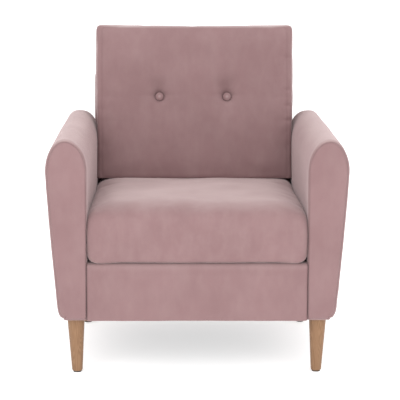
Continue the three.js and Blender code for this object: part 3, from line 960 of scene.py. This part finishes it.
# Rows of teeth that mesh along the middle of a narrow tape: a shallow ridge that rises and falls
# along the zip, with the two rows half a step apart.
def addZipTeeth(name, cushion, slot, height, toFrame):
    x = np.linspace(-fastener["half"], fastener["half"], 1200)[:, None]
    v = np.linspace(-1, 1, 9)[None, :]
    phase = 2 * math.pi * x / fastener["tooth"] + math.pi * (v > 0)
    ridge = 0.0007 * np.clip(1 - np.abs(v) * 1.6, 0, 1) * (0.6 + 0.4 * np.sign(np.cos(phase)))
    points = toFrame(x + 0 * v, fastener["sunk"] - ridge, height + v * fastener["width"] / 2 + 0 * x)
    piece = gridPiece(name, points)
    if readNormals(piece.data)[5000][1] < 0:
        piece.data.flip_normals()
    solid = piece.modifiers.new("tape", "SOLIDIFY")
    solid.thickness = 0.0005
    solid.offset = -1
    place(piece, "zip", cushion, slot)


seatLow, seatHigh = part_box("seat_cushion_cover")
seat = {
    "front": seatLow.y,
    "rear": seatHigh.y,
    "floor": seatLow.z,
    "top": seatHigh.z,
    "rearTop": legTop + 0.295,
    "half": seatHigh.x,
    "startInset": 0.001,
    "round": 0.034,
    "tuck": 0.016,
    "endRoll": 0.026,
    "sideDrop": 0.013,
    "frontHalf": 0.2985,
    "zip": legTop + 0.224,
}


def cubic(a, b, c, d, t):
    return (1 - t) ** 3 * a + 3 * t * (1 - t) ** 2 * b + 3 * t * t * (1 - t) * c + t**3 * d


# Side view of the seat cushion as one loop: level floor, upright rear, a top that climbs to its
# crown near the front, a wide roll over the edge and a front that swells between roll and floor.
def seatSection(inset):
    front, rear = seat["front"] + inset, seat["rear"] - inset
    floor, top, rearTop = seat["floor"] + inset, seat["top"] - inset, seat["rearTop"] - inset
    tuck, soft = seat["tuck"], seat["round"]
    t = fractions(40, 6, 10, 6, 40, 10, 10, 14, 6)
    middle = (floor + top) / 2 - 0.008
    y = [
        lerp(front + tuck, rear - tuck, t[0]),
        bend(rear - tuck, rear, rear, t[1]),
        rear + 0 * t[2],
        bend(rear, rear, rear - tuck, t[3]),
        cubic(rear - tuck, frontY + 0.515, frontY + 0.33, frontY + 0.13, t[4]),
        cubic(frontY + 0.13, frontY + 0.08, front + 0.06, front + soft, t[5]),
        bend(front + soft, front + 0.004, front + 0.003, t[6]),
        bend(front + 0.003, front - 0.003, front + 0.002, t[7]),
        bend(front + 0.002, front + 0.002, front + tuck, t[8]),
    ]
    z = [
        floor + 0 * t[0],
        bend(floor, floor, floor + tuck, t[1]),
        lerp(floor + tuck, rearTop - tuck, t[2]),
        bend(rearTop - tuck, rearTop, rearTop, t[3]),
        cubic(rearTop, rearTop + 0.003, top, top, t[4]),
        cubic(top, top, top - 0.001, top - 0.006, t[5]),
        bend(top - 0.006, top - 0.010, top - 0.008 - soft, t[6]),
        bend(top - 0.008 - soft, middle, floor + tuck, t[7]),
        bend(floor + tuck, floor, floor, t[8]),
    ]
    return joined(y, inset), joined(z, inset)


# The section carried from side to side; the top drops towards both sides.
def seatForm(under, rows, rollRows=7, capRows=6):
    section = lambda inset: seatSection(inset + under)
    half = seat["half"] - under
    ends = (lambda a, b: -half + 0 * a, lambda a, b: half + 0 * a)
    y, z, x = carried(section, *ends, seat["endRoll"], rows, rollRows, capRows)
    aloft = smoothStep(z, seat["floor"] + 0.08, seat["top"])
    ahead = smoothStep(y, frontY + 0.53, frontY + 0.40)
    z = z - seat["sideDrop"] * aloft * ahead * smoothStep(np.abs(x), 0.17, half) ** 1.5
    return np.stack([x, y, z], -1)


# Stretches one coordinate evenly so that it runs from low to high.
def fitSpan(values, low, high):
    return low + (values - values.min()) * (high - low) / (values.max() - values.min())


# Fills the case between the arms; only the front may spread past them, over their rolled edges.
def keepSeatInPlace(points):
    points[:, 0] = fitSpan(points[:, 0], -seat["frontHalf"] - 0.002, seat["frontHalf"] + 0.002)
    points[:, 1] = fitSpan(points[:, 1], seat["front"], seat["rear"])
    points[:, 2] = fitSpan(points[:, 2], seat["floor"] - 0.007, seat["top"])
    forward = smoothStep(points[:, 1], frontY + 0.016, frontY - 0.004)
    wall = lerp(armInside(points[:, 2]) - 0.0002, seat["frontHalf"], forward)
    points[:, 0] = np.clip(points[:, 0], -wall, wall)
    points[:, 2] = np.maximum(points[:, 2], seat["floor"] - 0.0008)
    points[:, 1] = np.clip(points[:, 1], seat["front"] - 0.012, seat["rear"])
    return points


def addSeatCushion():
    form = seatForm(seat["startInset"], 70)
    piece = gridPiece("seatCushionCover", form, closeColumns=True, merge=True)
    filled(piece, swell["seatTravel"])
    points = keepSeatInPlace(readPoints(piece.data))
    writePoints(piece.data, points)
    normals = readNormals(piece.data)
    upward = np.clip(normals[:, 2], 0, 1)
    forward = np.clip(-normals[:, 1], 0, 1)
    slack = 0.0016 * ripple(points, 0.19, 61) * upward + 0.0010 * ripple(points, 0.16, 62) * forward
    nearSide = smoothStep(np.abs(points[:, 0]), 0.22, 0.285)
    slack += 0.0008 * ripple(points * (1, 0.5, 1), 0.05, 63) * nearSide * (upward + forward)
    rearward = smoothStep(normals[:, 1], 0.7, 0.95)
    slack -= zipChannel(points[:, 0], points[:, 2] - seat["zip"], rearward)
    writePoints(piece.data, points + normals * slack[:, None])
    place(piece, "seatCloth", "seat_cushion", "seat_cushion_cloth", "seat_cushion_cover")
    # Painted shade along the sides where the cushion meets the arms, standing in for the shadow in the gap.
    wall = armInside(points[:, 2])
    armGapShade = smoothStep(np.abs(points[:, 0]), wall - 0.004, wall - 0.0005) * (1 - forward)
    setMask(piece.data, "seam", 0.35 * armGapShade)
    # Painted sheen on the top behind the front roll, less towards the sides, where upward pile catches the
    # light.
    behindEdge = smoothStep(points[:, 1], frontY - 0.02, frontY + 0.115)
    betweenSides = smoothStep(np.abs(points[:, 0]), 0.285, 0.20)
    wearAndSheen = behindEdge * (0.4 + 0.6 * betweenSides)
    setMask(piece.data, "paintedSheen", 0.85 * smoothStep(upward, 0.5, 1.0) * wearAndSheen)
    core = gridPiece("seatCushionFoam", seatForm(0.012, 24, 5, 4), closeColumns=True, merge=True)
    place(core, "foam", "seat_cushion", "foam", "seat_cushion_foam")
    onRear = lambda x, sunk, z: np.stack([x, seat["rear"] - sunk, z], -1)
    addZipTeeth("seatZipTeeth", "seat_cushion", "zip_metal", seat["zip"], onRear)


backCushion = {
    "half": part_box("back_cushion_cover")[1].x,
    "spread": 0.3008,
    "depth": 0.147,
    "top": 0.747,
    "floor": legTop + 0.3015,
    "clearance": 0.001,
    "round": 0.013,
    "endRoll": 0.011,
    "seam": 0.0125,
    "seamDepth": 0.0009,
    "zip": 0.350,
}
button = {
    "x": 0.102,
    "shift": -0.004,  # the pair sits a little to one side
    "height": 0.5245,
    "radius": 0.0125,
    "thickness": 0.009,
    "face": -0.139,
}
tuft = {
    "deep": 0.0135,
    "deepRadius": 0.0175,
    "wide": 0.0115,
    "wideRadius": 0.054,
    "crease": 0.0024,
    "wedge": 0.0095,
}
gather = {
    "heights": (0.453, 0.497, 0.545, 0.644),
    "x": 0.286,
    "reach": 0.014,
    "width": 0.0055,
    "depth": 0.0030,
}


def fromRake(x, depth, height):
    y = backFoot + depth * math.cos(lean) + height * math.sin(lean)
    z = legTop - depth * math.sin(lean) + height * math.cos(lean)
    return np.stack([x + 0 * y, y, z + 0 * y], -1)


def toRake(points):
    y, z = points[:, 1] - backFoot, points[:, 2] - legTop
    return points[:, 0], y * math.cos(lean) - z * math.sin(lean), y * math.sin(lean) + z * math.cos(lean)


# Height along the rake of the level underside at a given depth.
def cushionFloor(depth):
    return (backCushion["floor"] - legTop) / math.cos(lean) + depth * math.tan(lean)


# Side view of the back cushion as one loop: flat behind, level below, crowned over its top and
# gently full in front.
def backCushionSection(inset):
    rear, front = -backCushion["clearance"] - inset, -backCushion["depth"] + inset
    top, soft = backCushion["top"] - inset, backCushion["round"]
    low = lambda depth: cushionFloor(depth) + inset
    t = fractions(40, 6, 20, 6, 40, 6, 20, 6)
    near, far = front + 0.003, rear - soft
    swellFront = (low(front) + top) / 2
    depth = [
        rear + 0 * t[0],
        bend(rear, rear, far, t[1]),
        bend(far, (rear + front) / 2, near + soft, t[2]),
        bend(near + soft, near, near, t[3]),
        bend(near, front - 0.004, near, t[4]),
        bend(near, near, near + soft, t[5]),
        lerp(near + soft, far, t[6]),
        bend(far, rear, rear, t[7]),
    ]
    crest = top - 0.004
    height = [
        lerp(low(rear) + soft, crest - soft, t[0]),
        bend(crest - soft, crest, crest, t[1]),
        bend(crest, top + 0.004, crest, t[2]),
        bend(crest, crest, crest - soft, t[3]),
        bend(crest - soft, swellFront, low(near) + soft, t[4]),
        bend(low(near) + soft, low(near), low(near + soft), t[5]),
        lerp(low(near + soft), low(far), t[6]),
        bend(low(far), low(rear), low(rear) + soft, t[7]),
    ]
    return joined(depth, inset), joined(height, inset)


def backCushionForm(under, rows, rollRows=6, capRows=6):
    section = lambda inset: backCushionSection(inset + under)
    half = backCushion["half"] - under
    ends = (lambda a, b: -half + 0 * a, lambda a, b: half + 0 * a)
    depth, height, x = carried(section, *ends, backCushion["endRoll"], rows, rollRows, capRows)
    return fromRake(x, depth, height)


def keepBackInPlace(points):
    x, depth, height = toRake(points)
    x = fitSpan(x, -backCushion["spread"] - 0.0015, backCushion["spread"] + 0.0015)
    depth = fitSpan(depth, -backCushion["depth"] - 0.004, -backCushion["clearance"])
    height = fitSpan(height, cushionFloor(depth.min()) - 0.005, backCushion["top"] + 0.003)
    free = smoothStep(height, 0.45, 0.52)
    wall = lerp(arm["inner"] + 0.0002, backCushion["spread"], free)
    x = np.clip(x, -wall, wall)
    depth = np.clip(depth, -backCushion["depth"] - 0.010, -backCushion["clearance"])
    height = np.clip(height, cushionFloor(depth) - 0.001, backCushion["top"] + 0.003)
    return fromRake(x, depth, height)


# How strongly the slack cloth hangs over each button, 1 at the middle of its fold.
def tuftWedge(x, height):
    fold = 0 * x
    for side in (-1, 1):
        across, up = x - button["shift"] - side * button["x"] + 0.004, height - button["height"]
        width = 0.010 + 0.35 * np.clip(up, 0, 0.06)
        fold = fold + np.exp(-((across / width) ** 2)) * np.exp(-(((up - 0.026) / 0.024) ** 2))
    return fold


# How far the cloth is drawn in round the buttons: a narrow deep well, a wide shallow one, a
# crease to each side and a fold that widens upwards.
def tuftPull(x, height):
    pull = 0 * x
    for side in (-1, 1):
        across, up = x - button["shift"] - side * button["x"], height - button["height"]
        away = np.hypot(across, up)
        pull = pull + tuft["deep"] * np.exp(-((away / tuft["deepRadius"]) ** 2.4))
        pull = pull + tuft["wide"] * np.exp(-((away / tuft["wideRadius"]) ** 1.6))
        level = np.exp(-(((up - 0.003) / 0.009) ** 2)) * np.exp(-((across / 0.045) ** 2))
        pull = pull + tuft["crease"] * level
    return pull + tuft["wedge"] * tuftWedge(x, height)


# Short pleats that run in from the seam along one side.
def gathers(x, height):
    beside = np.exp(-(((x - gather["x"]) / gather["reach"]) ** 2))
    pleats = sum(np.exp(-(((height - level) / gather["width"]) ** 2)) for level in gather["heights"])
    return gather["depth"] * pleats * beside


# Signed distance to the seam's rounded rectangle on the front face, negative inside it.
def seamDistance(x, height):
    halfWidth = backCushion["half"] - backCushion["seam"]
    low, high = cushionFloor(-backCushion["depth"]) + 0.004, backCushion["top"] - backCushion["seam"]
    corner = 0.012
    beyondX = np.abs(x) - halfWidth + corner
    beyondZ = np.abs(height - (low + high) / 2) - (high - low) / 2 + corner
    outside = np.hypot(np.maximum(beyondX, 0), np.maximum(beyondZ, 0))
    return outside + np.minimum(np.maximum(beyondX, beyondZ), 0) - corner


def addBackCushion():
    form = backCushionForm(0.0, 70)
    piece = gridPiece("backCushionCover", form, closeColumns=True, merge=True)
    filled(piece, swell["backTravel"])
    points = keepBackInPlace(readPoints(piece.data))
    writePoints(piece.data, points)
    normals = readNormals(piece.data)
    x, depth, height = toRake(points)
    facingOut = np.clip(-normals[:, 1] * math.cos(lean) + normals[:, 2] * math.sin(lean), 0, 1)
    distance = seamDistance(x, height)
    groove = np.exp(-((distance / 0.0028) ** 2)) * smoothStep(facingOut, 0.25, 0.7)
    puckerZone = np.exp(-((distance + 0.004) / 0.012) ** 2) * smoothStep(facingOut, 0.2, 0.7)
    puckers = 0.0007 * ripple(points * (1, 0.4, 1), 0.03, 71) * puckerZone
    puckers -= gathers(x, height) * smoothStep(facingOut, 0.2, 0.7)
    slack = 0.0014 * ripple(points, 0.17, 72) * facingOut
    lift = puckers + slack - backCushion["seamDepth"] * groove
    lift -= zipChannel(x, height - backCushion["zip"], smoothStep(depth, -0.006, -0.003))
    front = smoothStep(-depth, 0.07, 0.11)
    inward = tuftPull(x, height) * front
    depth = depth + inward
    moved = fromRake(x, depth, height) + normals * lift[:, None]
    writePoints(piece.data, moved)
    place(piece, "backCushionCloth", "back_cushion", "back_cushion_cloth", "back_cushion_cover")
    # Painted shade in the seam groove, in the wells round the buttons and in the fold above each.
    fold = tuftWedge(x, height) * front
    setMask(piece.data, "seam", 0.22 * groove + 0.55 * smoothStep(inward, 0.016, 0.030) + 0.16 * fold)
    # Painted sheen on faces turned up along the rake.
    aloft = np.clip(normals[:, 2] * math.cos(lean) + normals[:, 1] * math.sin(lean), 0, 1)
    setMask(piece.data, "paintedSheen", 0.7 * smoothStep(aloft, 0.4, 0.95))
    core = gridPiece("backCushionFoam", backCushionForm(0.012, 24, 5, 4), closeColumns=True, merge=True)
    points = readPoints(core.data)
    x, depth, height = toRake(points)
    depth = depth + tuftPull(x, height) * smoothStep(-depth, 0.07, 0.11)
    writePoints(core.data, fromRake(x, depth, height))
    place(core, "foam", "back_cushion", "foam", "back_cushion_foam")
    onRear = lambda x, sunk, height: fromRake(x, -backCushion["clearance"] - sunk, height)
    addZipTeeth("backZipTeeth", "back_cushion", "zip_metal", backCushion["zip"], onRear)


# A covered button: a dome whose cloth is gathered in small pleats round its rim and closes behind.
def addButtons():
    turn = np.linspace(0, 2 * math.pi, 72, endpoint=False)[:, None]
    arc = np.linspace(0, 1, 22)[None, :]
    radius, thick = button["radius"], button["thickness"]
    swing = np.minimum(arc / 0.7, 1) * math.pi / 2
    dome = radius * np.sin(swing) * (1 - 0.86 * smoothStep(arc, 0.72, 1.0))
    forward = thick * 0.55 * np.cos(swing) - (thick * 0.45) * smoothStep(arc, 0.7, 0.95)
    pleat = 1 + 0.012 * np.cos(18 * turn) * smoothStep(arc, 0.45, 0.75)
    for side, label in ((1, "right"), (-1, "left")):
        middle = button["shift"] + side * button["x"]
        x = middle + dome * pleat * np.cos(turn)
        height = button["height"] + dome * pleat * np.sin(turn)
        depth = button["face"] + thick * 0.55 - forward + 0 * turn
        piece = gridPiece(f"button_{label}", fromRake(x, depth, height), closeRows=True, merge=True)
        place(piece, "buttonCloth", "back_cushion", "button_cloth", f"button_{label}")
        points = readPoints(piece.data)
        rim = np.hypot(points[:, 0] - middle, toRake(points)[2] - button["height"])
        # Painted shade round the rim where the button sinks into the cloth; painted highlight on the middle
        # of its dome.
        setMask(piece.data, "seam", 0.5 * smoothStep(rim, radius * 0.86, radius))
        setMask(piece.data, "paintedSheen", 0.6 * smoothStep(rim, radius * 0.6, 0))
        addTwine(side, label)


twine = {"radius": 0.0012, "pitch": 0.008, "toggle": 0.009}


# Two-ply twine from the button to its toggle: a round section whose radius rises and falls twice
# per turn while that pattern winds along it; the toggle is a flat turned disc.
def addTwine(side, label):
    turn = np.linspace(0, 2 * math.pi, 14, endpoint=False)[:, None]
    start, end = button["face"] + button["thickness"] * 0.7, -0.0080
    along = np.linspace(0, 1, 90)[None, :]
    depth = lerp(start, end, along)
    wind = 2 * math.pi * (depth - start) / twine["pitch"]
    plies = twine["radius"] * (0.82 + 0.28 * np.abs(np.cos(turn - wind)))
    flat = 0 * turn
    rim, face = flat + twine["toggle"], flat + twine["toggle"] - 0.0008
    radius = np.concatenate([flat, plies, face, rim, rim, face, flat], 1)
    steps = np.array([[start, *depth[0], end, end + 0.0006, end + 0.0014, end + 0.002, end + 0.002]])
    x = button["shift"] + side * button["x"] + radius * np.cos(turn)
    height = button["height"] + radius * np.sin(turn)
    points = fromRake(x, steps + flat, height)
    piece = gridPiece(f"tuftingTwine_{label}", points, closeRows=True, merge=True)
    place(piece, "twine", "back_cushion", "tufting_twine", f"tufting_twine_{label}")


back = {
    "half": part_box("back_cover")[1].x,
    "depth": 0.075,
    "length": 0.624,
    "round": 0.018,
    "endRoll": 0.017,
    "seam": 0.019,
    "seamDepth": 0.0016,
    "fullness": 0.004,
}


# Side view of the back as one loop along the rake: level cut below, rounded over the top.
def backSection(inset):
    front, rear, top = inset, back["depth"] - inset, back["length"] - inset
    soft, low = back["round"], lambda depth: depth * math.tan(lean) + inset
    t = fractions(60, 8, 10, 8, 60, 5, 12, 5)
    depth = [
        rear + 0 * t[0],
        bend(rear, rear, rear - soft, t[1]),
        lerp(rear - soft, front + soft, t[2]),
        bend(front + soft, front, front, t[3]),
        front + 0 * t[4],
        bend(front, front, front + 0.005, t[5]),
        lerp(front + 0.005, rear - 0.005, t[6]),
        bend(rear - 0.005, rear, rear, t[7]),
    ]
    height = [
        lerp(low(rear) + 0.005, top - soft, t[0]),
        bend(top - soft, top, top, t[1]),
        top + 0 * t[2],
        bend(top, top, top - soft, t[3]),
        lerp(top - soft, low(front) + 0.005, t[4]),
        bend(low(front) + 0.005, low(front), low(front + 0.005), t[5]),
        lerp(low(front + 0.005), low(rear - 0.005), t[6]),
        bend(low(rear - 0.005), low(rear), low(rear) + 0.005, t[7]),
    ]
    return joined(depth, inset), joined(height, inset)


def backForm(under, rows, rollRows, capRows):
    section = lambda inset: backSection(inset + under)
    half = back["half"] - under
    ends = (lambda a, b: -half + 0 * a, lambda a, b: half + 0 * a)
    return carried(section, *ends, back["endRoll"], rows, rollRows, capRows)


# The outer back: a panel seam runs round its rear face, which is slightly full.
def addBackCover():
    depth, height, x = backForm(0.0, 120, 8, 8)
    piece = gridPiece("backCover", fromRake(x, depth, height), closeColumns=True, merge=True)
    points = readPoints(piece.data)
    normals = readNormals(piece.data)
    x, depth, height = toRake(points)
    behind = smoothStep(depth, back["depth"] - 0.012, back["depth"] - 0.001)
    toSide = back["half"] - back["seam"] - np.abs(x)
    toTop = back["length"] - back["seam"] - height
    inside = np.minimum(toSide, toTop)
    sewn = smoothStep(depth, back["depth"] - 0.02, back["depth"] - 0.004)
    groove = np.exp(-((inside / 0.003) ** 2)) * sewn
    across = np.clip(1 - (x / back["half"]) ** 2, 0, 1)
    upwards = np.clip(np.sin(math.pi * np.clip(height / back["length"], 0, 1)), 0, 1)
    panel = back["fullness"] * across * upwards * behind + 0.0011 * ripple(points, 0.2, 81) * behind
    puckers = 0.0006 * ripple(points, 0.032, 82) * np.exp(-((inside - 0.006) / 0.01) ** 2) * behind
    writePoints(piece.data, points + normals * (panel + puckers - back["seamDepth"] * groove)[:, None])
    place(piece, "backCloth", "base", "back_cloth", "back_cover")
    # Painted shade in the seam groove; painted sheen along the top.
    setMask(piece.data, "seam", 0.8 * groove)
    setMask(piece.data, "paintedSheen", 0.4 * smoothStep(height, back["length"] - 0.05, back["length"]))


backPad = {
    "reach": 0.297,
    "low": 0.030,
    "high": back["length"] - 0.024,
    "front": 0.0033,
    "rear": 0.0177,
    "soft": 0.004,
}


# Foam over the webbing: a slab whose outline is a superellipse of power 0.28, with rounded edges
# and slightly uneven where it was cut.
def addBackFoam():
    reach, low, high = backPad["reach"], backPad["low"], backPad["high"]

    def section(inset):
        t = np.linspace(0, 2 * math.pi, 96, endpoint=False)[None, :]
        power = 0.28
        across = np.sign(np.cos(t)) * np.abs(np.cos(t)) ** power
        up = np.sign(np.sin(t)) * np.abs(np.sin(t)) ** power
        return across * (reach - inset), (low + high) / 2 + up * ((high - low) / 2 - inset)

    ends = (lambda a, b: backPad["front"] + 0 * a, lambda a, b: backPad["rear"] + 0 * a)
    x, height, depth = carried(section, *ends, backPad["soft"], 6, 5, 20)
    piece = gridPiece("backFoam", fromRake(x, depth, height), closeColumns=True, merge=True)
    roughen(piece, 0.0004, 0.06, 83)
    place(piece, "foam", "base", "foam", "back_foam")


webbing = {
    "reach": 0.288,
    "half": 0.025,
    "front": 0.018,
    "thickness": 0.0018,
    "heights": (0.21, 0.33, 0.45),
}


# A webbing strap: a thin closed loop across its width, thicker at the selvedges, with the cross
# threads' ribs along its length and a slight sag between the uprights.
def addWebbing():
    t = np.linspace(0, 2 * math.pi, 60, endpoint=False)[None, :]
    x = np.linspace(-webbing["reach"], webbing["reach"], 240)[:, None]
    across = np.sign(np.cos(t)) * np.abs(np.cos(t)) ** 0.5
    selvedge = 1 + 0.25 * smoothStep(np.abs(across), 0.86, 0.97)
    ribs = 0.00018 * np.cos(2 * math.pi * x / 0.0048) * (np.abs(across) < 0.85)
    face = np.sign(np.sin(t)) * np.abs(np.sin(t)) ** 0.35
    sag = 0.0012 * (1 - (x / webbing["reach"]) ** 2)
    depth = webbing["front"] + 0.001 + sag + face * (webbing["thickness"] / 2 * selvedge * 0.9 + ribs)
    for number, height in enumerate(webbing["heights"], 1):
        body = fromRake(x + 0 * t, depth, height + across * webbing["half"] + 0 * x)
        first, last = body[:1], body[-1:]
        closing = [end.mean(1, keepdims=True) + 0 * end for end in (first, last)]
        points = np.concatenate([closing[0], body, closing[1]])
        piece = gridPiece(f"backWebbing_{number}", points, closeColumns=True, merge=True)
        place(piece, "jute", "base", "webbing_jute", f"back_webbing_{number}")


# A stretched cloth: a level grid that dips a little in the middle and quilts where it is stapled.
def addLining(name, node, sag, seed):
    low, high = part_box(node)
    x = np.linspace(low.x, high.x, 120)[:, None]
    y = np.linspace(low.y, high.y, 110)[None, :]
    fromEdge = (1 - ((x / high.x) ** 6)) * (1 - (2 * (y - low.y) / (high.y - low.y) - 1) ** 6)
    z = (low.z + high.z) / 2 + sag * fromEdge + 0 * x * y
    points = np.stack([x + 0 * y, y + 0 * x, z], -1)
    points[..., 2] += 0.0003 * ripple(points, 0.07, seed) * fromEdge
    piece = gridPiece(name, points)
    solid = piece.modifiers.new("cloth", "SOLIDIFY")
    solid.thickness = 0.0009
    solid.offset = 0
    place(piece, "lining", "base", "lining_cloth", node)
    return piece, high.x - low.x, high.y - low.y


def addLinings():
    deck, width, length = addLining("seatDeckCloth", "seat_deck_cloth", -0.0012, 91)
    dust, width, length = addLining("dustCover", "dust_cover", -0.0008, 92)


# Better finishes on the pieces kept as they are.
def dressKeptNodes():
    finishOf = {
        "front_rail": "timberAcross",
        "rear_rail": "timberAcross",
        "back_top_rail": "timberAcross",
        "back_bottom_rail": "timberAcross",
        "back_upright": "timberUpright",
        "side_rail": "timberDeep",
        "arm_top_rail": "timberDeep",
        "arm_front_board": "ply",
        "arm_rear_board": "ply",
        "leg_block": "timberDeep",
        "leg_bolt": "bolt",
        "leg_": "oak",
        "glide": "glide",
        "seat_spring": "spring",
        "seat_zip_slider": "zip",
        "back_zip_slider": "zip",
    }
    for name, node in nodes.items():
        if node.hide_render:
            continue
        dress(node, next(finishOf[start] for start in finishOf if name.startswith(start)))


print("studio")
addCamera()
addStudio()
print("arms and border")
addArmCovers()
addArmFacings()
addArmFoam()
addFrontBorder()
print("cushions")
addSeatCushion()
addBackCushion()
addButtons()
print("back frame and linings")
addBackCover()
addBackFoam()
addWebbing()
addLinings()
dressKeptNodes()

low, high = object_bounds()
{"cad": [list(cadLow), list(cadHigh)], "visual": [list(low), list(high)]}
